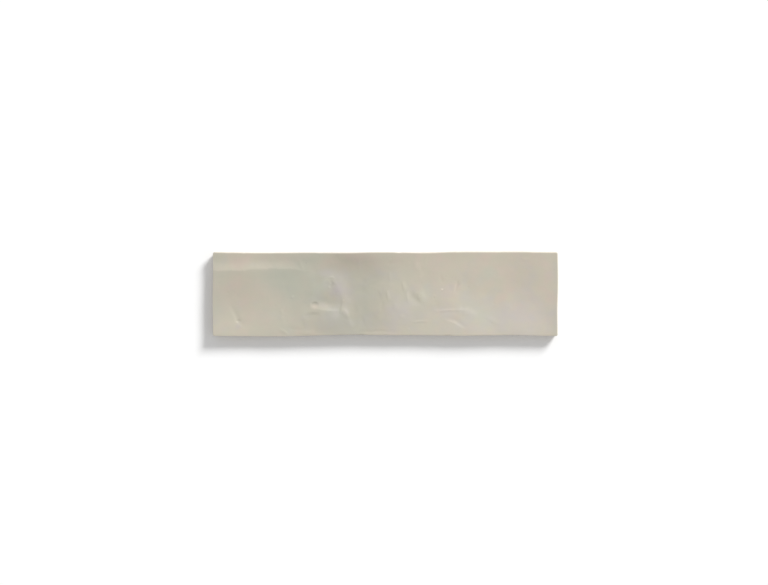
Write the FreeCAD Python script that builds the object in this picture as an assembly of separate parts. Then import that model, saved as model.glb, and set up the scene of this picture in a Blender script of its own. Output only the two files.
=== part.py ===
"""Glazed ceramic wall tile with a handmade look, lying on its keyed back.

Millimetres. X runs along the length, Y across the width and Z up out of the glazed face.
The origin is the middle of the back, on the plane of the keying ribs.
The tile is pressed and fired as one piece, so it is one solid: glaze and body are not separate.
"""

import FreeCAD, Part
import math
import os

from FreeCAD import Rotation, Vector

# Overall size, to the mean outline and the mean level of the glazed face
TILE_LENGTH = 246.0
TILE_WIDTH = 60.0
TILE_THICKNESS = 9.0

# Edges: the plan corners, the rounded glazed rim and the leaning lower wall.
# The rim's radius keeps under RIM_LIMIT of the corner's radius and of the upright band's height
CORNER_RADIUS = 1.3
RIM_RADIUS = 0.9
RIM_LIMIT = 0.9
SHOULDER_HEIGHT = 4.5
WALL_SETBACK = 0.8
BACK_BEVEL = 0.5

# How far the rim wanders off a straight line, and its course from left to right as shares of that
LONG_EDGE_WANDER = 0.9
REAR_EDGE_COURSE = (-0.45, -0.4, -0.3, -0.45, 0.05, -0.4, 0.3, 0.35, 0.4)
FRONT_EDGE_COURSE = (0.25, 0.3, -0.4, -1.0, -0.6, -0.6, -0.2, -0.4, -0.6)
# The ends wander less. Their courses run from front to rear
END_WANDER = 0.3
LEFT_END_COURSE = (0.3, 1.0, -0.2)
RIGHT_END_COURSE = (-0.6, 0.4, 0.8)

# Glazed face: a long slow wave and a short slanting one, each with a start angle in radians
WAVE_HEIGHT = 0.22
LONG_WAVE = 97.0
LONG_WAVE_START = 0.6
SHORT_WAVE = 43.0
SHORT_WAVE_START = 1.9
SHORT_WAVE_SHARE = 0.5
CROSS_WAVE = 74.0

# Lips that stand up along the rim, and hollows left by fingers
LIP_HEIGHT = 0.3
END_LIP_SHARE = 0.6
LIP_REACH = 5.5
HOLLOW_DEPTH = 0.45

# Each hollow: middle x and y, reach along x and y, share of HOLLOW_DEPTH
FINGER_HOLLOWS = (
    (-34.0, 0.0, 10.0, 8.0, 1.0),
    (-42.0, -9.0, 6.0, 4.0, 0.6),
    (-17.0, 20.0, 12.0, 6.0, 0.7),
    (22.0, -2.0, 7.0, 6.0, 0.8),
    (40.0, -13.0, 11.0, 5.0, 0.6),
    (-104.0, -16.0, 6.0, 8.0, 0.5),
    (88.0, 6.0, 16.0, 9.0, 0.4),
)

# The face is a surface through points this far apart, and it runs past the outline before trimming
FACE_POINT_SPACING = 4.0
FACE_OVERRUN = 6.0
CLAY_OVER_FACE = 5.0

# Keyed back: shallow drafted pockets between ribs, inside a flat border
KEY_BORDER = 5.0
KEY_RIB = 2.4
KEY_POCKET = 10.6
KEY_DEPTH = 0.8
KEY_DRAFT = 0.35

UP = Vector(0, 0, 1)
RIGHT = Vector(1, 0, 0)
REAR = Vector(0, 1, 0)
NODE = "wall_tile"
OUT_FOLDER = "parts"


def wandering_edge(start, end, outward, course, wander):
    """A smooth edge that leaves start and reaches end straight, pushed outward by its course."""
    step = (end - start) * (1 / (len(course) + 1))
    points = [start]
    for i, share in enumerate(course, start=1):
        points.append(start + step * i + outward * (share * wander))
    points.append(end)
    curve = Part.BSplineCurve()
    curve.interpolate(Points=points, InitialTangent=step, FinalTangent=step)
    return curve.toShape()


def corner_arc(centre, start_angle):
    """A quarter turn about centre, anticlockwise from start_angle in degrees."""
    circle = Part.Circle(centre, UP, CORNER_RADIUS)
    return Part.Arc(circle, math.radians(start_angle), math.radians(start_angle + 90)).toShape()


def outline(setback, height, long_wander, end_wander):
    """The closed outline at a height: four edges joined by round corners, anticlockwise."""
    inner_x = TILE_LENGTH / 2 - setback - CORNER_RADIUS
    inner_y = TILE_WIDTH / 2 - setback - CORNER_RADIUS
    front_left = Vector(-inner_x, -inner_y, height)
    front_right = Vector(inner_x, -inner_y, height)
    rear_right = Vector(inner_x, inner_y, height)
    rear_left = Vector(-inner_x, inner_y, height)
    sides = (
        (front_left, front_right, REAR * -1, FRONT_EDGE_COURSE, long_wander, -90),
        (front_right, rear_right, RIGHT, RIGHT_END_COURSE, end_wander, 0),
        (rear_right, rear_left, REAR, REAR_EDGE_COURSE[::-1], long_wander, 90),
        (rear_left, front_left, RIGHT * -1, LEFT_END_COURSE[::-1], end_wander, 180),
    )
    edges = []
    for first, last, outward, course, wander, arc_start in sides:
        out = outward * CORNER_RADIUS
        edges.append(wandering_edge(first + out, last + out, outward, course, wander))
        edges.append(corner_arc(last, arc_start))
    return Part.Wire(edges)


def pressed_blank():
    """The body before its face is shaped: a leaning wall up to the shoulder, then an upright band."""
    back = outline(WALL_SETBACK, 0, 0, 0)
    shoulder = outline(0, SHOULDER_HEIGHT, LONG_EDGE_WANDER, END_WANDER)
    lower = Part.makeLoft([back, shoulder], True, True)
    band_height = TILE_THICKNESS + CLAY_OVER_FACE - SHOULDER_HEIGHT
    return lower.fuse(Part.Face(shoulder).extrude(UP * band_height))


def face_height(x, y):
    """Height of the glazed face over the back."""
    turn = 2 * math.pi
    across = math.cos(turn * y / CROSS_WAVE)
    long_wave = math.sin(turn * x / LONG_WAVE + LONG_WAVE_START) * across
    short_wave = math.sin(turn * (x / SHORT_WAVE + y / CROSS_WAVE) + SHORT_WAVE_START)
    waves = long_wave + SHORT_WAVE_SHARE * short_wave
    long_lip = math.exp(-(((TILE_WIDTH / 2 - abs(y)) / LIP_REACH) ** 2))
    end_lip = math.exp(-(((TILE_LENGTH / 2 - abs(x)) / LIP_REACH) ** 2))
    lips = long_lip + END_LIP_SHARE * end_lip
    hollows = 0.0
    for middle_x, middle_y, reach_x, reach_y, share in FINGER_HOLLOWS:
        away = ((x - middle_x) / reach_x) ** 2 + ((y - middle_y) / reach_y) ** 2
        hollows += share * math.exp(-away)
    return TILE_THICKNESS + WAVE_HEIGHT * waves + LIP_HEIGHT * lips - HOLLOW_DEPTH * hollows


def face_stations(length):
    """Evenly spaced coordinates over a length and its overrun at both ends."""
    reach = length / 2 + FACE_OVERRUN
    steps = math.ceil(2 * reach / FACE_POINT_SPACING)
    return [-reach + 2 * reach * i / steps for i in range(steps + 1)]


def clay_over_face():
    """All that lies above the glazed face, as one solid to cut away."""
    rows = []
    for x in face_stations(TILE_LENGTH):
        rows.append([Vector(x, y, face_height(x, y)) for y in face_stations(TILE_WIDTH)])
    surface = Part.BSplineSurface()
    surface.interpolate(rows)
    return surface.toShape().extrude(UP * (2 * CLAY_OVER_FACE))


def edges_between(solid, lowest, highest):
    """The solid's edges that lie wholly between two heights."""
    edges = []
    for edge in solid.Edges:
        if edge.BoundBox.ZMin > lowest and edge.BoundBox.ZMax < highest:
            edges.append(edge)
    return edges


def key_pocket(size_x, size_y):
    """One pocket about the origin, narrowing as it goes up so that the press can let go."""
    mouth_x = size_x / 2
    mouth_y = size_y / 2
    floor_x = mouth_x - KEY_DRAFT
    floor_y = mouth_y - KEY_DRAFT
    pocket = Part.makeWedge(
        -mouth_x, 0, -mouth_y, -floor_y, -floor_x, mouth_x, KEY_DEPTH, mouth_y, floor_y, floor_x
    )
    pocket.Placement.Rotation = Rotation(RIGHT, 90)
    return pocket


def pocket_row(field):
    """Middles and size of the pockets that fill a field, counted out from the rib at its middle."""
    half_field = field / 2
    each_side = max(1, round((half_field + KEY_RIB / 2) / (KEY_POCKET + KEY_RIB)))
    pitch = (half_field + KEY_RIB / 2) / each_side
    middles = [pitch * (i + 0.5) for i in range(each_side)]
    return [-m for m in reversed(middles)] + middles, pitch - KEY_RIB


def key_pockets():
    """All pockets of the keyed back, to cut away together."""
    inset = 2 * (WALL_SETBACK + KEY_BORDER)
    middles_x, size_x = pocket_row(TILE_LENGTH - inset)
    middles_y, size_y = pocket_row(TILE_WIDTH - inset)
    pocket = key_pocket(size_x, size_y)
    copies = []
    for x in middles_x:
        for y in middles_y:
            copies.append(pocket.translated(Vector(x, y, 0)))
    return Part.makeCompound(copies)


def wall_tile():
    """The whole tile as one solid."""
    tile = pressed_blank().cut(clay_over_face()).removeSplitter()
    tile = tile.makeChamfer(BACK_BEVEL, edges_between(tile, -BACK_BEVEL, BACK_BEVEL))
    band_height = TILE_THICKNESS - SHOULDER_HEIGHT
    rim_edges = edges_between(tile, SHOULDER_HEIGHT + band_height / 2, TILE_THICKNESS + CLAY_OVER_FACE)
    rim_radius = min(RIM_RADIUS, RIM_LIMIT * CORNER_RADIUS, RIM_LIMIT * band_height)
    tile = tile.makeFillet(rim_radius, rim_edges)
    return tile.cut(key_pockets()).Solids[0]


def main():
    os.makedirs(OUT_FOLDER, exist_ok=True)
    tile = wall_tile()
    tile.exportStep(os.path.join(OUT_FOLDER, NODE + ".step"))
    box = tile.optimalBoundingBox(True, False)
    print(NODE, "valid:", tile.isValid(), "closed:", tile.isClosed())
    print("size", round(box.XLength, 2), round(box.YLength, 2), round(box.ZLength, 2))
    print("lowest", round(box.ZMin, 4), "volume in cm3", round(tile.Volume / 1000, 2))


main()
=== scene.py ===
import math

import bpy
import numpy as np
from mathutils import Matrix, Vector, noise
from mathutils.bvhtree import BVHTree


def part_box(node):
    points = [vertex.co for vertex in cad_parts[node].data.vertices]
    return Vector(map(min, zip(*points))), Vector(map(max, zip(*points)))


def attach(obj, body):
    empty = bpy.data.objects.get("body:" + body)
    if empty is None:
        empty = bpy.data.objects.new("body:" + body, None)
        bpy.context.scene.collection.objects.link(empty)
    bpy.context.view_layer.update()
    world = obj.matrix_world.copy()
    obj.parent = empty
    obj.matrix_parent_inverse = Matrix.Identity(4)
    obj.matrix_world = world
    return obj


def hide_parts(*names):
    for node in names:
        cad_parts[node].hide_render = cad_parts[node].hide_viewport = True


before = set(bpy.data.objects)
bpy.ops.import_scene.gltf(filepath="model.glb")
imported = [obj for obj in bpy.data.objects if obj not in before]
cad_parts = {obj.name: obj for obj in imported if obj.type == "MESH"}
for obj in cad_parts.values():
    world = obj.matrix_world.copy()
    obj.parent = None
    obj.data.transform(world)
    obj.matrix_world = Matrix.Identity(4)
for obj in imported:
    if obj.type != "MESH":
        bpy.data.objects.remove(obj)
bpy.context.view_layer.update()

# One dense mesh stands for the whole tile. It reads its outline, its face and the pockets of its
# back from the frame, and adds the marks of making: finger dents, ridges, creases and pinholes.
# Lengths are millimetres until the mesh is made. X runs along the tile, Y across it and Z up.
MM = 0.001
NODE = "wall_tile"
BODY = "root"
PIECE = "glazed_tile"

# How rays read the frame's tile: at which level of its wall, from how far outside, how far apart,
# how far inside the rim on its face, and how many times the outline is smoothed
BAND_LEVEL = 6.0
FAR_OUTSIDE = 200.0
READ_STEP = 2.0
CLEAR_OF_RIM = 0.3
OUTLINE_SMOOTHING = 3

# How the pockets of its back are read: what counts as one level, and to how many digits
SAME_PLACE = 0.02
POCKET_DIGITS = 2

# Sizes of the frame's tile: its corners, its rim, its wall, its foot and the pockets of its back
CORNER_RADIUS = 1.3
RIM_RADIUS = 0.9
SHOULDER_LEVEL = 4.5
WALL_SETBACK = 0.8
BACK_BEVEL = 0.5
KEY_DEPTH = 0.8

# Mesh lines of the face: finer over the stretch that has most marks
FINE_STEP = 0.42
COARSE_STEP = 0.6
CROSS_STEP = 0.45
MARKED_FROM = -75.0
MARKED_TO = 65.0

# Mesh lines of the rim: a fan at each corner, rings on the flat before the round as shares of
# that flat, and the steps of the round
CORNER_FAN = 6
FLAT_SHARES = (0.5, 1.0)
NOSE_STEPS = 7

# Rings of mesh lines down the wall: shares of the way to the shoulder, then levels
BAND_SHARES = (0.35, 0.7, 1.0)
WALL_LEVELS = (3.5, 2.5, 1.4, BACK_BEVEL, 0.2, 0.0)

# Mesh lines over the slope into a pocket of the back: how far in from its edge, in drafts, and
# how deep, as shares of its depth
INTO_POCKET = (-0.5, 0.3, 0.8, 1.8)
POCKET_DEPTHS = (0.0, 0.2, 0.85, 1.0)

# How gently heights level off under the highest point of the frame's tile
TOP_SOFTNESS = 0.02

# Soft dents and bumps of the face: x, y, reach along, reach across, turn in degrees, height
SPOTS = (
    # In the ring-shaped finger dent and beside it
    (-40.0, -1.0, 6.5, 4.0, -20, -0.15),
    (-40.0, 4.9, 0.8, 0.8, 0, 0.1),
    (-30.4, -4.9, 0.7, 0.7, 0, 0.1),
    (-41.5, -15.2, 3.2, 2.4, 0, -0.1),
    # The left third
    (-105.9, -20.1, 0.9, 0.8, 0, 0.18),
    (-66.0, -2.2, 1.1, 0.9, 0, 0.12),
    (-73.0, -17.8, 1.6, 3.0, 0, 0.07),
    # The middle, the last one beside the comma-shaped groove
    (-7.3, -16.0, 4.0, 2.6, 0, -0.09),
    (16.0, -1.4, 2.2, 3.0, 0, 0.12),
    (16.6, -24.9, 0.9, 0.8, 0, 0.09),
    (25.4, -1.6, 4.6, 3.2, -50, 0.36),
    # The right third
    (34.3, -2.2, 1.6, 1.5, 20, 0.06),
    (34.5, -2.6, 0.6, 0.6, 0, -0.12),
    (39.9, 10.7, 1.4, 2.2, 0, -0.08),
    (40.2, 3.1, 0.6, 0.6, 0, 0.34),
    (99.5, 25.2, 2.0, 1.0, 0, 0.08),
)

# Ridges and grooves: half width on the left of the line and on its right, height, then its points
STROKES = (
    # The ring round the finger dent, a small ridge on it and a groove inside it
    (5.8, 3.4, 0.44, (-50.0, 13.0), (-43.5, 11.8), (-38.6, 10.4), (-34.6, 7.6), (-32.0, 3.0),
     (-30.8, -4.3), (-30.9, -7.2)),
    (0.5, 0.6, 0.16, (-42.0, 11.7), (-39.0, 12.0), (-35.7, 11.8)),
    (1.3, 1.0, -0.17, (-39.1, 10.4), (-38.3, 7.5), (-39.3, 4.2)),
    # Where the ring ends: a crest, a curl and the curl's tail
    (3.6, 1.0, 0.21, (-31.2, -1.0), (-30.3, -7.8), (-31.0, -16.8)),
    (1.6, 2.6, 0.31, (-32.1, -11.8), (-28.7, -12.1), (-26.7, -14.2), (-26.2, -18.0)),
    (1.9, 3.2, 0.19, (-26.4, -16.6), (-25.2, -20.4), (-23.0, -24.6)),
    # The left third: three along the front rim and a faint one farther back
    (2.4, 1.2, 0.16, (-62.0, -26.6), (-56.0, -27.4), (-50.0, -27.5)),
    (1.6, 1.2, -0.09, (-72.0, -23.8), (-64.0, -24.8), (-55.0, -25.0)),
    (0.8, 1.2, 0.14, (-76.4, -24.2), (-72.0, -26.6), (-67.4, -29.4)),
    (1.1, 1.1, 0.07, (-74.2, -10.6), (-73.2, -15.6)),
    # The middle: a groove along the front rim, streaks and the comma-shaped groove
    (1.4, 1.0, -0.12, (-23.0, -27.0), (-9.5, -26.7), (9.3, -26.8)),
    (1.1, 1.1, 0.07, (3.1, 16.4), (4.1, 8.2)),
    (1.4, 0.7, 0.18, (0.9, 3.3), (1.8, -0.8), (2.4, -5.6)),
    (2.2, 1.8, 0.1, (5.6, -3.9), (10.3, -13.6)),
    (1.6, 0.9, 0.17, (12.4, 9.6), (13.3, 5.2), (14.0, 0.8)),
    (1.2, 0.9, 0.1, (15.6, 1.9), (17.3, -7.1)),
    (1.8, 2.4, -0.19, (16.6, 2.2), (19.6, -0.9), (22.3, -4.4), (24.0, -8.2)),
    # The right third: a streak, the long ridge and its end, a short ridge and a faint one
    (1.6, 0.8, -0.18, (52.0, 10.6), (50.9, 5.7), (49.3, 0.6)),
    (1.0, 0.7, 0.15, (33.0, -11.6), (46.1, -11.3), (59.0, -11.4)),
    (2.2, 3.0, 0.24, (50.0, -10.8), (58.2, -12.1), (66.4, -16.4)),
    (0.9, 0.7, 0.13, (17.6, -19.5), (24.0, -19.3), (31.4, -19.5)),
    (2.0, 2.0, 0.08, (71.2, -15.2), (83.0, -22.2)),
)

# Creases, where the clay drops at once on the left of the line and comes back slowly:
# reach, depth, how much paler that side is painted (darker below 0), partly thinner glaze and
# partly painted light and shade on the slope as the lamp falls on it, then the line's points
FOLDS = (
    # The edge of the raised band at the rear left, in two stretches
    (6.4, 0.3, 0.08, (-139.0, 16.8), (-106.5, 16.7), (-78.0, 17.4)),
    (5.4, 0.26, 0.06, (-105.0, 17.7), (-78.7, 18.1), (-63.7, 18.0), (-49.0, 14.6)),
    # The pit at the left end of the shelf, the shelf and the crease in front of it
    (1.6, 0.5, 0.0, (-47.0, -6.0), (-50.3, -5.6), (-53.8, -6.1)),
    (5.4, 0.54, 0.09, (-53.4, -9.8), (-47.6, -10.6), (-45.2, -11.1), (-40.9, -12.1), (-36.6, -12.5),
     (-28.4, -12.3)),
    (2.2, 0.2, -0.03, (-45.3, -12.4), (-51.6, -12.7), (-58.6, -13.9)),
    # The crescent near the left end and the fleck on it
    (1.9, 0.17, 0.02, (-112.2, -7.5), (-109.3, -14.3), (-106.1, -20.2), (-101.0, -24.8)),
    (1.2, 0.34, 0.04, (-103.2, -18.4), (-105.4, -18.1), (-107.8, -18.5)),
    # The wedge near the front rim on the right
    (1.8, 0.12, 0.1, (42.0, -18.2), (48.9, -20.7), (58.2, -25.2)),
)
CREASE_SOFTNESS = 0.35

# How a line's points are joined, how far marks reach in widths, how they fade at their ends, and
# how sharply the paler glaze and painted light beside a crease end
PATH_PIECES = 6
MARK_REACH = 3.2
FOLD_REACH = 4.0
END_FADE = 1.1
PALE_SHARPNESS = 4

# Small random drags of a wet hand, mostly across the tile
DRAG_SEED = 3
DRAG_COUNT = 46
DRAG_SPREAD = 34.0
DRAG_TURN = (60.0, 125.0)
DRAG_LENGTH = (4.0, 11.0)
DRAG_HALF_WIDTH = (1.2, 2.6)
DRAG_HEIGHT = (-0.09, 0.1)

# How far all marks stray from their places: seed, spacing, reach
WOBBLES = (
    (61.3, 9.0, 0.9),
    (71.9, 2.8, 0.4),
)

# Random relief: seed, spacing along, spacing across, height
RIPPLES = (
    (11.3, 21.0, 15.0, 0.07),
    (27.9, 9.0, 6.0, 0.042),
    (42.1, 3.4, 2.6, 0.01),
)

# Pits left by gas in the glaze
PINHOLE_SEED = 7
PINHOLE_COUNT = 46
PINHOLE_REACH = (0.35, 0.7)
PINHOLE_DEPTH = (0.02, 0.07)

# The rim's round as a share of the frame's: its mean, how much more it is at the rear rim and
# less at the front, and how far it varies along the edge
RIM_SHARE = 0.75
RIM_LEAN = 0.2
RIM_VARIES = 0.25
RIM_SPACING = 17.0
RIM_SEED = 3.7

# Small losses along the long rims. They fade down the wall and end at a share of the height of
# its shoulder
NICK_SEED = 19
NICK_COUNT = 22
NICK_REACH = (0.8, 2.4)
NICK_REACH_IN = 2.0
NICK_DEPTH = (0.03, 0.12)
NICKS_END_AT = 0.3

# The wall: how thin its glaze is, from 0 to 1, and how rough it is
THIN_ON_WALL = 0.35
WALL_SEED = 8.2
WALL_ROUGHNESS = 0.09
WALL_SPACING = 4.0

# How uneven the back is inside its border
FOOT_SEED = 5.1
FOOT_LIFT = 0.03
FOOT_SPACING = 5.0

# Glaze tones, some with painted light and shade of the relief as marked: x, y, reach along,
# reach across, then shares of grey-green, of lilac and of shade
TONES_AND_PAINTED_LIGHT = (
    # Over large parts of the tile
    (-40.0, 0.0, 50.0, 60.0, 0.55, 0.0, -0.07),
    (-95.0, -2.0, 40.0, 60.0, 0.05, -0.14, 0.0),
    (-8.0, 24.0, 72.0, 5.0, 0.0, -0.3, 0.0),
    (50.0, -14.0, 30.0, 20.0, 0.2, 0.2, 0.06),
    # Darker and greener along the two ends, at the left end as painted shade away from the lamp
    (-120.5, -2.0, 9.0, 60.0, 0.55, 0.0, -0.04),
    (123.0, 0.0, 3.5, 60.0, 0.4, 0.0, -0.02),
    # The left third
    (-119.0, -22.0, 7.0, 10.0, -0.2, 0.0, 0.06),
    (-117.0, 22.0, 9.0, 5.0, 0.0, 0.0, 0.045),
    (-106.0, 5.0, 20.0, 14.0, -0.15, 0.0, -0.07),
    (-104.5, -23.6, 2.4, 2.0, -0.1, 0.5, -0.03),
    (-98.0, 24.5, 9.0, 3.5, -0.3, 0.0, 0.03),
    (-97.0, -16.0, 20.0, 11.0, -0.1, 0.0, 0.035),
    (-80.0, 14.5, 34.0, 4.5, 0.3, -0.15, -0.04),
    (-79.0, 8.0, 8.0, 10.0, 0.3, -0.1, -0.02),
    (-78.0, -18.0, 12.0, 8.0, -0.15, 0.0, 0.045),
    (-64.0, 6.0, 22.0, 15.0, 0.35, -0.1, -0.01),
    # In and round the ring-shaped finger dent, from rear to front
    (-53.0, 14.5, 7.0, 3.0, 0.0, 0.1, 0.05),
    (-41.0, 14.5, 8.0, 3.5, 0.1, 0.4, 0.02),
    (-42.0, 9.8, 2.8, 2.0, 0.0, 0.0, 0.08),
    (-43.0, 6.0, 7.0, 5.0, 0.1, 0.1, 0.05),
    # Lilac on the ring's right arc, lightened as painted light on its side toward the lamp
    (-32.4, 3.0, 6.5, 9.0, -0.1, 0.8, 0.04),
    # Painted shade in the finger dent, over its own warmer, lilac tone
    (-41.0, -1.0, 7.0, 4.5, -0.4, 0.25, -0.015),
    (-44.0, -8.0, 6.0, 2.2, -0.4, 0.2, 0.03),
    # Painted light on the pit's lower wall, which faces the lamp
    (-50.5, -9.2, 2.4, 2.2, -0.4, 0.0, 0.07),
    (-28.0, -12.5, 3.0, 3.0, 0.0, 0.5, 0.03),
    (-56.5, -13.0, 4.0, 4.5, 0.0, 0.0, 0.04),
    (-35.5, -14.5, 5.5, 4.0, 0.6, 0.45, 0.08),
    (-38.0, -21.0, 16.0, 6.5, 0.35, 0.35, -0.035),
    (-44.0, -25.0, 19.0, 3.5, 0.0, 0.0, -0.045),
    # The middle
    (-24.5, 24.0, 21.0, 8.5, -0.5, 0.2, -0.16),
    (-15.0, 2.0, 11.0, 9.0, 0.5, 0.1, 0.0),
    (-15.0, -10.0, 7.0, 7.0, 0.3, -0.35, -0.03),
    (-12.0, -21.0, 13.0, 7.0, 0.3, 0.2, -0.05),
    (-8.0, 14.0, 14.0, 7.0, 0.1, -0.05, -0.075),
    (-2.4, 0.5, 2.4, 3.4, 0.0, 0.0, -0.06),
    (6.0, 23.0, 12.0, 5.0, -0.35, 0.0, -0.03),
    (10.4, -13.0, 10.0, 12.0, 0.1, 0.5, 0.02),
    (16.0, 2.0, 15.0, 12.0, 0.3, -0.05, 0.04),
    # Painted light on the flank right of the comma-shaped groove, which faces the lamp
    (29.0, 0.0, 4.0, 6.0, 0.1, 0.0, 0.06),
    # The right third
    (36.0, 13.0, 9.0, 10.0, 0.1, -0.4, -0.02),
    # A painted glint on the small bump
    (39.9, 3.0, 0.8, 0.8, -0.1, 0.0, 0.2),
    (46.0, 1.0, 10.0, 15.0, -0.5, 0.2, 0.0),
    (60.0, 24.0, 10.0, 8.0, 0.1, 0.0, 0.045),
    (62.0, -4.0, 24.0, 10.0, 0.1, 0.0, 0.03),
    (68.0, -16.0, 9.0, 9.0, 0.8, -0.15, 0.05),
    (75.0, 15.0, 8.0, 7.0, 0.9, -0.3, 0.05),
    (86.0, -2.0, 9.0, 16.0, 0.3, -0.2, 0.01),
    (95.0, -18.0, 26.0, 13.0, 0.2, 0.7, 0.08),
    (97.0, 2.0, 9.0, 11.0, -0.35, 0.25, 0.0),
    (98.0, 13.0, 17.0, 15.0, -0.5, 0.1, -0.04),
)

# The glaze pales on crests and pools in hollows: shade for relief and for bend, and the limit of
# both together
SHADE_BY_RELIEF = 0.1
SHADE_BY_BEND = 0.14
SHADE_LIMIT = 0.08

# Colours, as shares of red, green and blue light
WARM_GLAZE = (0.528, 0.485, 0.391)
COOL_GLAZE = (0.47, 0.468, 0.385)
ROSY_GLAZE = (0.55, 0.473, 0.397)
LILAC_GLAZE = (0.5, 0.46, 0.43)
# Paler thin glaze, which on the rim partly stands for a painted highlight
THIN_GLAZE_AND_HIGHLIGHT = (0.78, 0.73, 0.62)
GLAZE_EDGE = (0.46, 0.39, 0.29)
BISCUIT = (0.66, 0.585, 0.485)
BISCUIT_SHADE = (0.52, 0.44, 0.345)

# Noise: its middle value, and how many finer layers it has in broad drifts and in all else
NOISE_MIDDLE = 0.5
DRIFT_DETAIL = 3.0
FINE_DETAIL = 2.0

# Glaze: how it drifts to grey-green, rose and lilac, and how unevenly dark it is
DRIFT_SPACING = 18.0
COOL_DRIFT = 1.7
ROSY_SPACING = 10.0
ROSY_DRIFT = 3.4
ROSY_MIDDLE = 0.3
LILAC_SPACING = 9.0
LILAC_DRIFT = 1.6
CLOUD_SPACING = 11.0
CLOUD_DEPTH = 0.05

# Glaze: how much of the thin glaze's colour shows where it is thinnest, partly a painted rim
# highlight, its gloss and its skin
RIM_THINNING_AND_HIGHLIGHT = 0.8
SATIN_SPACING = 6.0
SATIN_ROUGHNESS = (0.3, 0.42)
SKIN_SPACING = 1.6
SKIN_STRENGTH = 0.12

# Clay: kiln dust, dark specks and its grain
DUST_SPACING = 14.0
DUST_RANGE = (0.4, 0.75)
DUST_SHARE = 0.5
SPECK_SPACING = 0.9
SPECK_RANGE = (0.66, 0.74)
SPECK_SHARE = 0.6
CLAY_ROUGHNESS = 0.88
CLAY_GRAIN_SPACING = 0.5
CLAY_GRAIN_STRENGTH = 0.9

# Depth of the bump that the glaze's skin and the clay's grain share
GRAIN_DEPTH = 0.06

# Where the glaze ends on the wall, how far that line strays, and its darker border
GLAZE_LINE = 3.6
GLAZE_LINE_STRAYS = 3.0
GLAZE_LINE_SPACING = 9.0
GLAZE_FADE = 0.22
GLAZE_BORDER = 2.4

# Sockets of the node that mixes, which share their names: two colours and their result, then two
# numbers and theirs
COLOUR_INPUTS = (6, 7)
COLOUR_OUTPUT = 2
NUMBER_INPUTS = (2, 3)
NUMBER_OUTPUT = 0

# The photograph's frame, the place of the tile's middle in it, and its scale
PHOTO_WIDTH_PX = 768
PHOTO_HEIGHT_PX = 585
TILE_MIDDLE_PX = (385.35, 294.0)
MM_PER_PX = 0.7128

# The camera's lens and sensor, and how far it sees in metres
LENS = 150.0
SENSOR = 36.0
FARTHEST_SEEN = 100.0

# The floor: its size, its colour to the light and its colour to the camera
FLOOR_SIZE = 8000.0
FLOOR_COLOUR = 0.8
FLOOR_AS_SEEN = 1.0

# Light from all round: its share of full light on a level surface, and how bright it looks
WORLD_LIGHT = 0.53
WORLD_AS_SEEN = 1.0

# The key lamp: its share of full light on a level surface, the way towards it, and how wide it
# looks from the tile, in degrees
KEY_LIGHT = 0.49
KEY_TOWARDS = (1.0, 1.2, 1.0)
KEY_WIDTH = 20.0


# Reading the frame's tile

def search_tree():
    """The frame's tile as a tree of triangles for rays."""
    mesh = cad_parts[NODE].data
    mesh.calc_loop_triangles()
    points = [vertex.co / MM for vertex in mesh.vertices]
    triangles = [tuple(triangle.vertices) for triangle in mesh.loop_triangles]
    return BVHTree.FromPolygons(points, triangles)


def smoothed(values, passes):
    """The values with each one averaged with its neighbours, several times over."""
    for _ in range(passes):
        padded = np.concatenate((values[:1], values, values[-1:]))
        values = (padded[:-2] + 2 * padded[1:-1] + padded[2:]) / 4
    return values


def wall_reach(tree, stations, axis, side):
    """How far out the upright band stands at each station, along one axis and on one side."""
    reach = []
    for station in stations:
        start = Vector((station, station, BAND_LEVEL))
        start[axis] = side * FAR_OUTSIDE
        heading = Vector((0, 0, 0))
        heading[axis] = -side
        reach.append(abs(tree.ray_cast(start, heading)[0][axis]))
    return smoothed(np.array(reach), OUTLINE_SMOOTHING)


def spline_shares(share):
    """The four weights of an even cubic spline, at a share of the way along its middle span."""
    rest = 1 - share
    return (
        rest**3 / 6,
        (3 * share**3 - 6 * share**2 + 4) / 6,
        (3 * rest**3 - 6 * rest**2 + 4) / 6,
        share**3 / 6,
    )


def spline_places(stations, values):
    """The span of each value and its share of the way along it, held inside the stations."""
    place = (values - stations[0]) / (stations[1] - stations[0])
    place = np.clip(place, 0, len(stations) - 1)
    span = np.minimum(np.floor(place), len(stations) - 2).astype(int)
    return span, place - span


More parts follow.
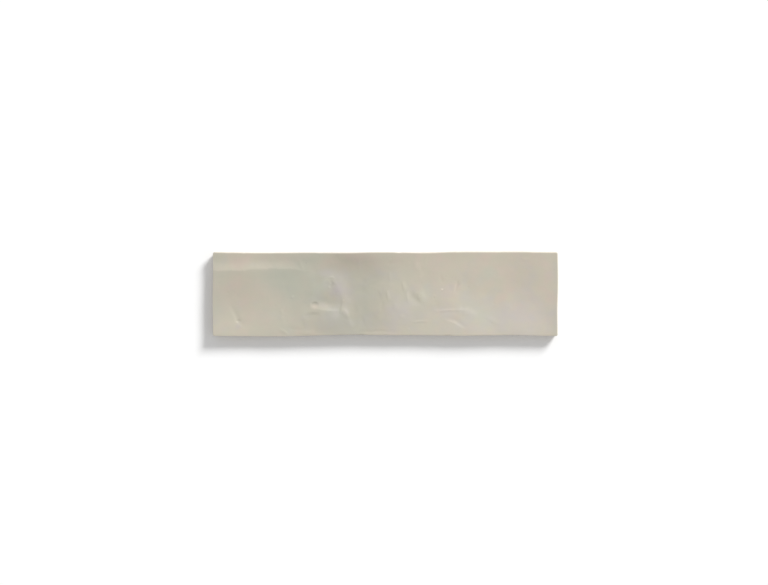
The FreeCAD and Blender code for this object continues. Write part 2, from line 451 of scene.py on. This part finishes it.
class Shape:
    """What is read from the frame's tile: its half sizes, the course of its edges and its face."""

    def __init__(self):
        tree = search_tree()
        low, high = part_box(NODE)
        self.top = high.z / MM
        self.half_x = self.nominal_half(tree, 0, 0.5 * (high.y - low.y) / MM)
        self.half_y = self.nominal_half(tree, 1, 0.5 * (high.x - low.x) / MM)
        self.inner_x = self.half_x - CORNER_RADIUS
        self.inner_y = self.half_y - CORNER_RADIUS
        self.stations_x = self.evenly(self.inner_x)
        self.stations_y = self.evenly(self.inner_y)
        self.right = wall_reach(tree, self.stations_y, 0, 1) - self.half_x
        self.left = wall_reach(tree, self.stations_y, 0, -1) - self.half_x
        self.rear = wall_reach(tree, self.stations_x, 1, 1) - self.half_y
        self.front = wall_reach(tree, self.stations_x, 1, -1) - self.half_y
        self.face = self.read_face(tree)

    def nominal_half(self, tree, axis, half_across):
        """Half of the size before the edges wander: they start from it beside the corners."""
        beside_corner = half_across - 2 * CORNER_RADIUS
        stations = (-beside_corner, beside_corner)
        reach = [wall_reach(tree, [s], axis, side)[0] for s in stations for side in (-1, 1)]
        return float(np.mean(reach))

    def evenly(self, half):
        """Stations from one end of a length to the other, no farther apart than the read step."""
        return np.linspace(-half, half, math.ceil(2 * half / READ_STEP) + 1)

    def read_face(self, tree):
        """Heights of the face at all stations, by rays that come down inside the rim."""
        down = Vector((0, 0, -1))
        clear_x = self.half_x - RIM_RADIUS - CLEAR_OF_RIM
        clear_y = self.half_y - RIM_RADIUS - CLEAR_OF_RIM
        rows = []
        for x in np.clip(self.stations_x, -clear_x, clear_x):
            row = []
            for y in np.clip(self.stations_y, -clear_y, clear_y):
                row.append(tree.ray_cast(Vector((x, y, FAR_OUTSIDE)), down)[0].z)
            rows.append(row)
        return np.array(rows)

    def wander(self, x, y):
        """How far a plan point moves with the wandering edges: fully at them, not at the middle."""
        long_edge = np.where(
            y > 0,
            np.interp(x, self.stations_x, self.rear),
            -np.interp(x, self.stations_x, self.front),
        )
        end_edge = np.where(
            x > 0,
            np.interp(y, self.stations_y, self.right),
            -np.interp(y, self.stations_y, self.left),
        )
        return end_edge * np.abs(x) / self.inner_x, long_edge * np.abs(y) / self.inner_y

    def height(self, x, y):
        """Height of the smooth face at plan points, by a spline through the stations."""
        span_x, share_x = spline_places(self.stations_x, x)
        span_y, share_y = spline_places(self.stations_y, y)
        total = np.zeros(np.shape(x))
        for i, weight_x in enumerate(spline_shares(share_x)):
            column = np.clip(span_x + i - 1, 0, len(self.stations_x) - 1)
            for j, weight_y in enumerate(spline_shares(share_y)):
                row = np.clip(span_y + j - 1, 0, len(self.stations_y) - 1)
                total += weight_x * weight_y * self.face[column, row]
        return total


# Relief

def field(x, y, z, spacing_x, spacing_y, seed):
    """A smooth random field, from about -1 to 1, with hills about the spacing apart."""
    flat = np.broadcast(x, y, z)
    values = [noise.noise((a / spacing_x, b / spacing_y, c / spacing_y + seed)) for a, b, c in flat]
    return np.array(values).reshape(flat.shape)


def spot(x, y, middle_x, middle_y, along, across, turn, height):
    """One soft spot, raised or sunk."""
    cos = math.cos(math.radians(turn))
    sin = math.sin(math.radians(turn))
    u = ((x - middle_x) * cos + (y - middle_y) * sin) / along
    v = ((y - middle_y) * cos - (x - middle_x) * sin) / across
    return height * np.exp(-(u**2) - v**2)


def smooth_path(points):
    """More points between the given ones, on a curve that passes through each of them."""
    points = np.array(points)
    ends = np.vstack((2 * points[0] - points[1], points, 2 * points[-1] - points[-2]))
    path = []
    for a, b, c, d in zip(ends, ends[1:], ends[2:], ends[3:]):
        for t in np.arange(PATH_PIECES) / PATH_PIECES:
            bend = (2 * a - 5 * b + 4 * c - d) * t**2 + (3 * b - a - 3 * c + d) * t**3
            path.append(b + (c - a) * t / 2 + bend / 2)
    return np.array(path + [points[-1]])


def beside(x, y, path):
    """For each plan point, its share of the way along the path and its distance, left above 0."""
    nearest = np.full(np.shape(x), np.inf)
    along = np.zeros(np.shape(x))
    side = np.ones(np.shape(x))
    runs = np.diff(path, axis=0)
    lengths = np.hypot(runs[:, 0], runs[:, 1])
    passed = 0.0
    for (start_x, start_y), (run_x, run_y), length in zip(path, runs, lengths):
        from_x = x - start_x
        from_y = y - start_y
        share = np.clip((from_x * run_x + from_y * run_y) / length**2, 0, 1)
        away = np.hypot(from_x - share * run_x, from_y - share * run_y)
        closer = away < nearest
        nearest = np.where(closer, away, nearest)
        along = np.where(closer, passed + share * length, along)
        side = np.where(closer, np.sign(run_x * from_y - run_y * from_x), side)
        passed += length
    return along / passed, nearest * side


def faded(along):
    """The strength of a mark along its line, which dies away at both ends."""
    return np.sin(math.pi * along) ** END_FADE


def stroke(x, y, left, right, height, *points):
    """A ridge or groove along a line, with a width of its own on each side."""
    along, away = beside(x, y, smooth_path(points))
    width = np.where(away > 0, left, right)
    return height * faded(along) * np.exp(-((away / width) ** 2))


def fold(x, y, reach, depth, *points):
    """A crease: on the left of the line the clay drops at once and comes back slowly."""
    along, away = beside(x, y, smooth_path(points))
    past = (away + np.hypot(away, CREASE_SOFTNESS)) / 2 / reach
    return -depth * faded(along) * past * np.exp((1 - past**2) / 2)


def paler_and_lit_side(x, y, reach, share, *points):
    """Paler glaze left of a crease's line: partly thinner glaze, partly painted light."""
    along, away = beside(x, y, smooth_path(points))
    return share * faded(along) * np.exp(-((away / reach) ** PALE_SHARPNESS)) * (away > 0)


def add_line_mark(total, x, y, mark, values, points, reach):
    """Adds one mark to a total, worked out only for the plan points near its line."""
    xs, ys = np.transpose(points)
    near = (x > xs.min() - reach) & (x < xs.max() + reach)
    near &= (y > ys.min() - reach) & (y < ys.max() + reach)
    if near.any():
        total[near] += mark(x[near], y[near], *values, *points)


def pinholes(shape):
    """Small round pits left by gas in the glaze, as spots."""
    draw = np.random.default_rng(PINHOLE_SEED)
    spots = []
    for _ in range(PINHOLE_COUNT):
        x = draw.uniform(-shape.inner_x, shape.inner_x)
        y = draw.uniform(-shape.inner_y, shape.inner_y)
        reach = draw.uniform(*PINHOLE_REACH)
        spots.append((x, y, reach, reach, 0, -draw.uniform(*PINHOLE_DEPTH)))
    return spots


def drags(shape):
    """The random drags, as strokes."""
    draw = np.random.default_rng(DRAG_SEED)
    strokes = []
    for _ in range(DRAG_COUNT):
        x = draw.normal(0, DRAG_SPREAD)
        y = draw.uniform(-shape.inner_y, shape.inner_y)
        turn = math.radians(draw.uniform(*DRAG_TURN))
        half_length = draw.uniform(*DRAG_LENGTH) / 2
        run_x = half_length * math.cos(turn)
        run_y = half_length * math.sin(turn)
        left = draw.uniform(*DRAG_HALF_WIDTH)
        right = draw.uniform(*DRAG_HALF_WIDTH)
        height = draw.uniform(*DRAG_HEIGHT)
        strokes.append((left, right, height, (x - run_x, y - run_y), (x + run_x, y + run_y)))
    return strokes


def wobbled(x, y):
    """Plan points moved a little at random, so that no mark is straight or even."""
    for seed, spacing, reach in WOBBLES:
        move_x = reach * field(x, y, 0, spacing, spacing, seed)
        move_y = reach * field(x, y, 0, spacing, spacing, -seed)
        x = x + move_x
        y = y + move_y
    return x, y


class Relief:
    """All marks of the face over its smooth shape."""

    def __init__(self, shape):
        self.spots = (*SPOTS, *pinholes(shape))
        self.strokes = (*STROKES, *drags(shape))

    def at(self, x, y):
        """Height of the marks at plan points."""
        total = np.zeros(np.shape(x))
        for seed, spacing_x, spacing_y, height in RIPPLES:
            total += height * field(x, y, 0, spacing_x, spacing_y, seed)
        x, y = wobbled(x, y)
        for mark in self.spots:
            total += spot(x, y, *mark)
        for left, right, height, *points in self.strokes:
            reach = MARK_REACH * max(left, right)
            add_line_mark(total, x, y, stroke, (left, right, height), points, reach)
        for reach, depth, _, *points in FOLDS:
            add_line_mark(total, x, y, fold, (reach, depth), points, FOLD_REACH * reach)
        return total


def bend_of(heights, columns, rows):
    """How sharply a lattice of heights is bent at each point: above 0 on crests."""
    along = np.gradient(np.gradient(heights, columns, axis=0), columns, axis=0)
    across = np.gradient(np.gradient(heights, rows, axis=1), rows, axis=1)
    return -along - across


def edge_nicks(x, y, shape):
    """Small losses along the rim, as a depth at each point of the walk round it."""
    draw = np.random.default_rng(NICK_SEED)
    total = np.zeros(np.shape(x))
    for _ in range(NICK_COUNT):
        along_x = draw.uniform(-shape.half_x, shape.half_x)
        side = shape.half_y * draw.choice((-1, 1))
        reach = draw.uniform(*NICK_REACH)
        total += spot(x, y, along_x, side, reach, NICK_REACH_IN, 0, draw.uniform(*NICK_DEPTH))
    return total


# The mesh

class Walk:
    """The walk round the face's edge, anticlockwise, with the way out at each step."""

    def __init__(self, columns, rows):
        last_column = len(columns) - 1
        last_row = len(rows) - 1
        front = [(i, 0) for i in range(last_column + 1)]
        right = [(last_column, j) for j in range(last_row + 1)]
        rear = [(i, last_row) for i in range(last_column, -1, -1)]
        left = [(0, j) for j in range(last_row, -1, -1)]
        steps = []
        # Each side has one way out, in degrees, and each corner turns it by a quarter
        for path, heading in ((front, -90), (right, 0), (rear, 90), (left, 180)):
            steps += [(i, j, heading) for i, j in path]
            corner = path[-1]
            for k in range(1, CORNER_FAN):
                steps.append((*corner, heading + 90 * k / CORNER_FAN))
        self.face_vertex = np.array([i * len(rows) + j for i, j, _ in steps])
        self.x = np.array([columns[i] for i, _, _ in steps])
        self.y = np.array([rows[j] for _, j, _ in steps])
        angle = np.radians([heading for _, _, heading in steps])
        self.out_x = np.cos(angle)
        self.out_y = np.sin(angle)


class Surface:
    """Vertices and faces of the tile, built up sheet by sheet."""

    def __init__(self):
        self.vertices = []
        self.faces = []
        self.masks = {"relief": [], "bend": [], "thin": []}
        self.count = 0

    def add(self, x, y, z, **masks):
        """Adds vertices with their masks and gives back their numbers."""
        points = np.stack([np.ravel(x), np.ravel(y), np.ravel(z)], axis=1)
        self.vertices.append(points)
        for name, parts in self.masks.items():
            parts.append(np.ravel(np.broadcast_to(masks.get(name, 0.0), np.shape(z))))
        first = self.count
        self.count += len(points)
        return np.arange(first, self.count).reshape(np.shape(z))

    def points(self):
        """All vertices so far, one row each."""
        return np.concatenate(self.vertices)

    def sheet(self, numbers, upward):
        """Joins a lattice of vertices with four-sided faces."""
        a = numbers[:-1, :-1]
        b = numbers[1:, :-1]
        c = numbers[1:, 1:]
        d = numbers[:-1, 1:]
        corners = (a, b, c, d) if upward else (d, c, b, a)
        self.faces += np.stack([np.ravel(part) for part in corners], axis=1).tolist()

    def band(self, upper, lower):
        """Joins two closed rings of as many vertices. Repeated vertices make triangles."""
        following = np.roll(np.arange(len(upper)), -1)
        for i, j in enumerate(following):
            corners = [upper[i], lower[i], lower[j], upper[j]]
            if upper[i] == upper[j]:
                corners.pop()
            self.faces.append([int(c) for c in corners])

    def zip_rings(self, outer, inner):
        """Joins two closed flat rings of unlike counts with triangles, seen from below."""
        points = self.points()[:, :2]
        i = j = 0
        while i < len(outer) or j < len(inner):
            outer_here = outer[i % len(outer)]
            inner_here = inner[j % len(inner)]
            outer_next = outer[(i + 1) % len(outer)]
            inner_next = inner[(j + 1) % len(inner)]
            by_outer = np.sum((points[outer_next] - points[inner_here]) ** 2)
            by_inner = np.sum((points[inner_next] - points[outer_here]) ** 2)
            if j == len(inner) or (i < len(outer) and by_outer <= by_inner):
                self.faces.append([int(inner_here), int(outer_next), int(outer_here)])
                i += 1
            else:
                self.faces.append([int(outer_here), int(inner_here), int(inner_next)])
                j += 1


def face_columns(shape):
    """Plan lines across the tile, finer where the marks are."""
    before = math.ceil((MARKED_FROM + shape.inner_x) / COARSE_STEP)
    marked = math.ceil((MARKED_TO - MARKED_FROM) / FINE_STEP)
    after = math.ceil((shape.inner_x - MARKED_TO) / COARSE_STEP)
    return np.concatenate((
        np.linspace(-shape.inner_x, MARKED_FROM, before + 1)[:-1],
        np.linspace(MARKED_FROM, MARKED_TO, marked + 1)[:-1],
        np.linspace(MARKED_TO, shape.inner_x, after + 1),
    ))


def under_top(z, shape):
    """Heights kept just under the frame's highest point, without a sharp limit."""
    return shape.top - TOP_SOFTNESS * np.logaddexp(0, (shape.top - z) / TOP_SOFTNESS)


def add_face(surface, shape, relief, columns, rows):
    """The glazed face inside the rim."""
    plan_x, plan_y = np.meshgrid(columns, rows, indexing="ij")
    move_x, move_y = shape.wander(plan_x, plan_y)
    x = plan_x + move_x
    y = plan_y + move_y
    marks = relief.at(x, y)
    z = under_top(shape.height(x, y) + marks, shape)
    numbers = surface.add(x, y, z, relief=marks, bend=bend_of(marks, columns, rows))
    surface.sheet(numbers, upward=True)


class Rim:
    """The rim on its walk round the face: where it starts, how round it is and how it is nicked."""

    def __init__(self, shape, relief, walk):
        self.shape = shape
        self.relief = relief
        self.walk = walk
        move_x, move_y = shape.wander(walk.x, walk.y)
        self.edge_x = walk.x + move_x
        self.edge_y = walk.y + move_y
        far_x, far_y = self.out_by(CORNER_RADIUS)
        varies = field(far_x, far_y, 0, RIM_SPACING, RIM_SPACING, RIM_SEED)
        self.radius = RIM_RADIUS * (RIM_SHARE + RIM_LEAN * walk.out_y + RIM_VARIES * varies)
        self.nicks = edge_nicks(far_x, far_y, shape)

    def out_by(self, offset):
        """The plan points that lie an offset out from the face's edge."""
        return self.edge_x + self.walk.out_x * offset, self.edge_y + self.walk.out_y * offset


def add_flat(surface, rim, ring):
    """The last of the face, from its edge to the start of the rim's round."""
    for share in FLAT_SHARES:
        x, y = rim.out_by((CORNER_RADIUS - rim.radius) * share)
        marks = rim.relief.at(x, y)
        z = under_top(rim.shape.height(x, y) + marks, rim.shape)
        following = surface.add(x, y, z, relief=marks)
        surface.band(ring, following)
        ring = following
    return ring


def add_nose(surface, rim, ring):
    """The rim's round, down to the upright band."""
    for angle in np.linspace(0, math.pi / 2, NOSE_STEPS + 1)[1:]:
        sin = math.sin(angle)
        cos = math.cos(angle)
        x, y = rim.out_by(CORNER_RADIUS - rim.radius * (1 - sin) - rim.nicks * sin)
        marks = rim.relief.at(x, y) * cos
        crown = under_top(rim.shape.height(x, y) + marks, rim.shape)
        z = crown - rim.radius * (1 - cos) - rim.nicks * cos
        # Thin glaze pales over the round, partly a painted highlight along the rim
        following = surface.add(x, y, z, relief=marks, thin=math.sqrt(sin))
        surface.band(ring, following)
        ring = following
    return ring


def add_wall(surface, shape, walk, ring):
    """The upright band, the leaning lower wall and the bevel at the foot."""
    move_x, move_y = shape.wander(walk.x, walk.y)
    top_of_band = surface.points()[ring][:, 2]
    nominal_x = walk.x + walk.out_x * CORNER_RADIUS
    nominal_y = walk.y + walk.out_y * CORNER_RADIUS
    nicks = edge_nicks(nominal_x, nominal_y, shape)
    levels = [top_of_band + (SHOULDER_LEVEL - top_of_band) * share for share in BAND_SHARES]
    levels += [np.full(len(walk.x), level) for level in WALL_LEVELS]
    for level in levels:
        lower = np.clip(level / SHOULDER_LEVEL, 0, 1)
        setback = WALL_SETBACK * (1 - lower) + np.clip(BACK_BEVEL - level, 0, None)
        rough = field(nominal_x, nominal_y, level, WALL_SPACING, WALL_SPACING, WALL_SEED)
        worn = WALL_ROUGHNESS * (1 + rough) / 2 + nicks * np.clip(lower - NICKS_END_AT, 0, 1)
        offset = CORNER_RADIUS - setback - worn
        x = walk.x + move_x * lower + walk.out_x * offset
        y = walk.y + move_y * lower + walk.out_y * offset
        following = surface.add(x, y, level, thin=THIN_ON_WALL)
        surface.band(ring, following)
        ring = following
    return ring


def pocket_mouths(axis):
    """Edges of the mouths of the back's pockets along one axis, and the draft of their sides."""
    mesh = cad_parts[NODE].data
    points = np.array([vertex.co for vertex in mesh.vertices]) / MM
    floors = points[np.abs(points[:, 2] - KEY_DEPTH) < SAME_PLACE]
    mouths = points[np.abs(points[:, 2]) < SAME_PLACE]
    field_reach = np.abs(floors[:, :2]).max(axis=0) + WALL_SETBACK
    inside = np.all(np.abs(mouths[:, :2]) < field_reach, axis=1)
    floor_edges = np.unique(np.round(floors[:, axis], POCKET_DIGITS))
    mouth_edges = np.unique(np.round(mouths[inside][:, axis], POCKET_DIGITS))
    return mouth_edges, floor_edges[0] - mouth_edges[0]


def pocket_profile(axis):
    """Lines across a row of pockets, and how deep each line is as a share of the full depth."""
    edges, draft = pocket_mouths(axis)
    steps = np.array(INTO_POCKET) * draft
    lines = []
    depths = []
    for start, end in zip(edges[::2], edges[1::2]):
        lines += [*(start + steps), (start + end) / 2, *(end - steps[::-1])]
        depths += [*POCKET_DEPTHS, 1.0, *reversed(POCKET_DEPTHS)]
    return np.array(lines), np.array(depths)


def add_back(surface, ring):
    """The flat border of the back and its field of pockets."""
    lines_x, depths_x = pocket_profile(0)
    lines_y, depths_y = pocket_profile(1)
    x, y = np.meshgrid(lines_x, lines_y, indexing="ij")
    depth = KEY_DEPTH * np.outer(depths_x, depths_y)
    uneven = FOOT_LIFT * (1 + field(x, y, depth, FOOT_SPACING, FOOT_SPACING, FOOT_SEED))
    edge_free = np.ones(x.shape)
    edge_free[[0, -1], :] = 0
    edge_free[:, [0, -1]] = 0
    numbers = surface.add(x, y, depth + uneven * edge_free)
    surface.sheet(numbers, upward=False)
    field_walk = Walk(lines_x, lines_y).face_vertex + numbers[0, 0]
    keep = field_walk != np.roll(field_walk, 1)
    surface.zip_rings(ring, field_walk[keep])


def tile_surface():
    """The whole closed surface of the tile."""
    shape = Shape()
    relief = Relief(shape)
    surface = Surface()
    columns = face_columns(shape)
    rows = np.linspace(-shape.inner_y, shape.inner_y, math.ceil(2 * shape.inner_y / CROSS_STEP) + 1)
    add_face(surface, shape, relief, columns, rows)
    walk = Walk(columns, rows)
    rim = Rim(shape, relief, walk)
    ring = add_flat(surface, rim, walk.face_vertex)
    ring = add_nose(surface, rim, ring)
    ring = add_wall(surface, shape, walk, ring)
    add_back(surface, ring)
    return surface


def tones_and_painted_light(points, relief, bend):
    """Glaze tone and painted light at each vertex: shares of grey-green and of lilac, and shade."""
    x = points[:, 0]
    y = points[:, 1]
    cool = np.zeros(len(points))
    lilac = np.zeros(len(points))
    shade = SHADE_BY_RELIEF * relief + SHADE_BY_BEND * bend
    shade = np.clip(shade, -SHADE_LIMIT, SHADE_LIMIT)
    for middle_x, middle_y, along, across, cool_share, lilac_share, shade_share in TONES_AND_PAINTED_LIGHT:
        near = spot(x, y, middle_x, middle_y, along, across, 0, 1.0)
        cool += cool_share * near
        lilac += lilac_share * near
        shade += shade_share * near
    x, y = wobbled(x, y)
    # Beside each crease: paler glaze, partly painted light on the slope that faces the lamp
    for reach, _, pale, *line in FOLDS:
        add_line_mark(shade, x, y, paler_and_lit_side, (reach, pale), line, MARK_REACH * reach)
    return {"cool": cool, "lilac": lilac, "shade": shade}


def make_tile():
    """The tile as one Blender mesh, with its glaze tones and painted light and shade as attributes.
    """
    surface = tile_surface()
    points = surface.points()
    mesh = bpy.data.meshes.new(PIECE)
    mesh.from_pydata((points * MM).tolist(), [], surface.faces)
    masks = {name: np.concatenate(parts) for name, parts in surface.masks.items()}
    attributes = tones_and_painted_light(points, masks["relief"], masks["bend"])
    attributes["thin"] = masks["thin"]
    for name, values in attributes.items():
        attribute = mesh.attributes.new(name, "FLOAT", "POINT")
        attribute.data.foreach_set("value", values.astype(np.float32))
    mesh.shade_smooth()
    tile = bpy.data.objects.new(PIECE, mesh)
    bpy.context.scene.collection.objects.link(tile)
    return tile


# Materials

class Shader:
    """Adds nodes to a material or a world and joins them."""

    def __init__(self, owner):
        owner.use_nodes = True
        self.tree = owner.node_tree

    def plug(self, socket, value):
        """Sets a socket to a plain value, or links it to another node's output."""
        if isinstance(value, bpy.types.NodeSocket):
            self.tree.links.new(value, socket)
        elif isinstance(value, tuple) and socket.type == "RGBA":
            socket.default_value = (*value, 1.0)
        else:
            socket.default_value = value

    def node(self, kind, **settings):
        """A new node with its settings."""
        made = self.tree.nodes.new(kind)
        for name, value in settings.items():
            setattr(made, name, value)
        return made

    def attribute(self, name):
        """One of the mesh's attributes."""
        return self.node("ShaderNodeAttribute", attribute_name=name).outputs["Fac"]

    def math(self, operation, *values, clamp=False):
        """The result of an operation on numbers or outputs."""
        made = self.node("ShaderNodeMath", operation=operation, use_clamp=clamp)
        for socket, value in zip(made.inputs, values):
            self.plug(socket, value)
        return made.outputs[0]

    def blend(self, share, first, second):
        """A colour part of the way from the first to the second."""
        made = self.node("ShaderNodeMix", data_type="RGBA")
        self.plug(made.inputs["Factor"], share)
        for socket, value in zip(COLOUR_INPUTS, (first, second)):
            self.plug(made.inputs[socket], value)
        return made.outputs[COLOUR_OUTPUT]

    def between(self, share, first, second):
        """A number part of the way from the first to the second."""
        made = self.node("ShaderNodeMix", data_type="FLOAT")
        self.plug(made.inputs["Factor"], share)
        for socket, value in zip(NUMBER_INPUTS, (first, second)):
            self.plug(made.inputs[socket], value)
        return made.outputs[NUMBER_OUTPUT]

    def ramp(self, value, low, high):
        """A smooth rise from 0 at low to 1 at high."""
        made = self.node("ShaderNodeMapRange", interpolation_type="SMOOTHSTEP")
        self.plug(made.inputs["Value"], value)
        self.plug(made.inputs["From Min"], low)
        self.plug(made.inputs["From Max"], high)
        return made.outputs["Result"]

    def grain(self, place, spacing, detail=FINE_DETAIL):
        """A noise texture whose grains are about the spacing apart, in millimetres."""
        made = self.node("ShaderNodeTexNoise")
        self.plug(made.inputs["Vector"], place)
        self.plug(made.inputs["Scale"], 1 / (spacing * MM))
        self.plug(made.inputs["Detail"], detail)
        return made.outputs["Fac"]

    def drift(self, place, spacing, depth, middle, clamp=False):
        """Noise about a middle value, which may be a number or an output."""
        centred = self.math("SUBTRACT", self.grain(place, spacing, DRIFT_DETAIL), NOISE_MIDDLE)
        return self.math("MULTIPLY_ADD", centred, depth, middle, clamp=clamp)


def glaze_cover(shader, place):
    """Where the glaze covers the body: all above a straying line on the wall."""
    split = shader.node("ShaderNodeSeparateXYZ")
    shader.plug(split.inputs[0], place)
    height = shader.math("DIVIDE", split.outputs["Z"], MM)
    line = shader.drift(place, GLAZE_LINE_SPACING, GLAZE_LINE_STRAYS, GLAZE_LINE)
    return shader.ramp(shader.math("SUBTRACT", height, line), -GLAZE_FADE, GLAZE_FADE)


def glaze_colour(shader, place):
    """Warm beige drifting to rose, grey-green and lilac, paler where thin, with painted light in
    it.
    """
    cool = shader.drift(place, DRIFT_SPACING, COOL_DRIFT, shader.attribute("cool"), clamp=True)
    rosy = shader.drift(place, ROSY_SPACING, ROSY_DRIFT, ROSY_MIDDLE, clamp=True)
    colour = shader.blend(cool, shader.blend(rosy, WARM_GLAZE, ROSY_GLAZE), COOL_GLAZE)
    lilac = shader.drift(place, LILAC_SPACING, LILAC_DRIFT, shader.attribute("lilac"), clamp=True)
    colour = shader.blend(lilac, colour, LILAC_GLAZE)
    # Paler where the glaze is thin; on the rim this is partly a painted highlight
    thin = shader.math("MULTIPLY", shader.attribute("thin"), RIM_THINNING_AND_HIGHLIGHT)
    colour = shader.blend(thin, colour, THIN_GLAZE_AND_HIGHLIGHT)
    # The glaze's own shade, with painted light and shade of the relief mixed in
    shade = shader.math("ADD", shader.attribute("shade"), 1.0)
    level = shader.drift(place, CLOUD_SPACING, CLOUD_DEPTH, shade)
    scaled = shader.node("ShaderNodeVectorMath", operation="SCALE")
    shader.plug(scaled.inputs[0], colour)
    shader.plug(scaled.inputs["Scale"], level)
    return scaled.outputs[0]


def biscuit_colour(shader, place):
    """Pale fired clay with darker specks and a little kiln dust."""
    dust = shader.ramp(shader.grain(place, DUST_SPACING, DRIFT_DETAIL), *DUST_RANGE)
    colour = shader.blend(shader.math("MULTIPLY", dust, DUST_SHARE), BISCUIT, BISCUIT_SHADE)
    specks = shader.ramp(shader.grain(place, SPECK_SPACING), *SPECK_RANGE)
    return shader.blend(shader.math("MULTIPLY", specks, SPECK_SHARE), colour, BISCUIT_SHADE)


def ceramic_material():
    """Satin glaze over a pale fired body, in one material."""
    material = bpy.data.materials.new("satin_glaze_on_biscuit")
    shader = Shader(material)
    surface = shader.tree.nodes["Principled BSDF"].inputs
    place = shader.node("ShaderNodeTexCoord").outputs["Object"]
    cover = glaze_cover(shader, place)
    colour = shader.blend(cover, biscuit_colour(shader, place), glaze_colour(shader, place))
    border = shader.math("MULTIPLY", cover, shader.math("SUBTRACT", 1.0, cover))
    border = shader.math("MULTIPLY", border, GLAZE_BORDER, clamp=True)
    shader.plug(surface["Base Color"], shader.blend(border, colour, GLAZE_EDGE))
    satin = shader.between(shader.grain(place, SATIN_SPACING), *SATIN_ROUGHNESS)
    shader.plug(surface["Roughness"], shader.between(cover, CLAY_ROUGHNESS, satin))
    clay_grain = shader.grain(place, CLAY_GRAIN_SPACING)
    skin = shader.grain(place, SKIN_SPACING)
    bump = shader.node("ShaderNodeBump")
    shader.plug(bump.inputs["Distance"], GRAIN_DEPTH * MM)
    shader.plug(bump.inputs["Strength"], shader.between(cover, CLAY_GRAIN_STRENGTH, SKIN_STRENGTH))
    shader.plug(bump.inputs["Height"], shader.between(cover, clay_grain, skin))
    shader.plug(surface["Normal"], bump.outputs[0])
    return material


# Studio

def seen_directly(shader):
    """1 for the camera's own rays and for rays mirrored or let through to it, otherwise 0."""
    rays = shader.node("ShaderNodeLightPath").outputs
    share = shader.math("ADD", rays["Is Camera Ray"], rays["Is Glossy Ray"])
    return shader.math("ADD", share, rays["Is Transmission Ray"], clamp=True)


def make_floor():
    """A plain pale floor that shows white and keeps the shadow."""
    half = FLOOR_SIZE / 2 * MM
    corners = [(-half, -half, 0), (half, -half, 0), (half, half, 0), (-half, half, 0)]
    mesh = bpy.data.meshes.new("floor")
    mesh.from_pydata(corners, [], [(0, 1, 2, 3)])
    floor = bpy.data.objects.new("floor", mesh)
    bpy.context.scene.collection.objects.link(floor)
    material = bpy.data.materials.new("pale_floor")
    shader = Shader(material)
    surface = shader.tree.nodes["Principled BSDF"].inputs
    colour = shader.between(seen_directly(shader), FLOOR_COLOUR, FLOOR_AS_SEEN)
    shader.plug(surface["Base Color"], colour)
    shader.plug(surface["Roughness"], 1.0)
    shader.plug(surface["Specular IOR Level"], 0.0)
    mesh.materials.append(material)


def make_world():
    """Even light from all round, seen as plain white."""
    world = bpy.data.worlds.new("studio")
    bpy.context.scene.world = world
    shader = Shader(world)
    background = shader.tree.nodes["Background"].inputs
    shader.plug(background["Color"], (1.0, 1.0, 1.0))
    strength = shader.between(seen_directly(shader), WORLD_LIGHT, WORLD_AS_SEEN)
    shader.plug(background["Strength"], strength)


def make_key_light():
    """One large soft lamp far away, up and to the right of the view."""
    towards = Vector(KEY_TOWARDS).normalized()
    lamp = bpy.data.lights.new("key_lamp", "SUN")
    lamp.angle = math.radians(KEY_WIDTH)
    lamp.energy = KEY_LIGHT * math.pi / towards.z
    key = bpy.data.objects.new("key_lamp", lamp)
    key.rotation_euler = towards.to_track_quat("Z", "Y").to_euler()
    bpy.context.scene.collection.objects.link(key)


def make_camera(face_level):
    """A long lens that looks straight down and frames the tile as the photograph does."""
    lens = bpy.data.cameras.new("camera")
    lens.lens = LENS
    lens.sensor_width = SENSOR
    lens.clip_end = FARTHEST_SEEN
    camera = bpy.data.objects.new("camera", lens)
    right = (PHOTO_WIDTH_PX / 2 - TILE_MIDDLE_PX[0]) * MM_PER_PX
    up = (TILE_MIDDLE_PX[1] - PHOTO_HEIGHT_PX / 2) * MM_PER_PX
    distance = PHOTO_WIDTH_PX * MM_PER_PX * LENS / SENSOR
    camera.location = Vector((right, up, face_level + distance)) * MM
    bpy.context.scene.collection.objects.link(camera)
    bpy.context.scene.camera = camera


def main():
    tile = make_tile()
    tile.data.materials.append(ceramic_material())
    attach(tile, BODY)
    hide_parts(NODE)
    make_floor()
    make_world()
    make_key_light()
    make_camera(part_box(NODE)[1].z / MM)
    bpy.context.scene.view_settings.view_transform = "Standard"


main()
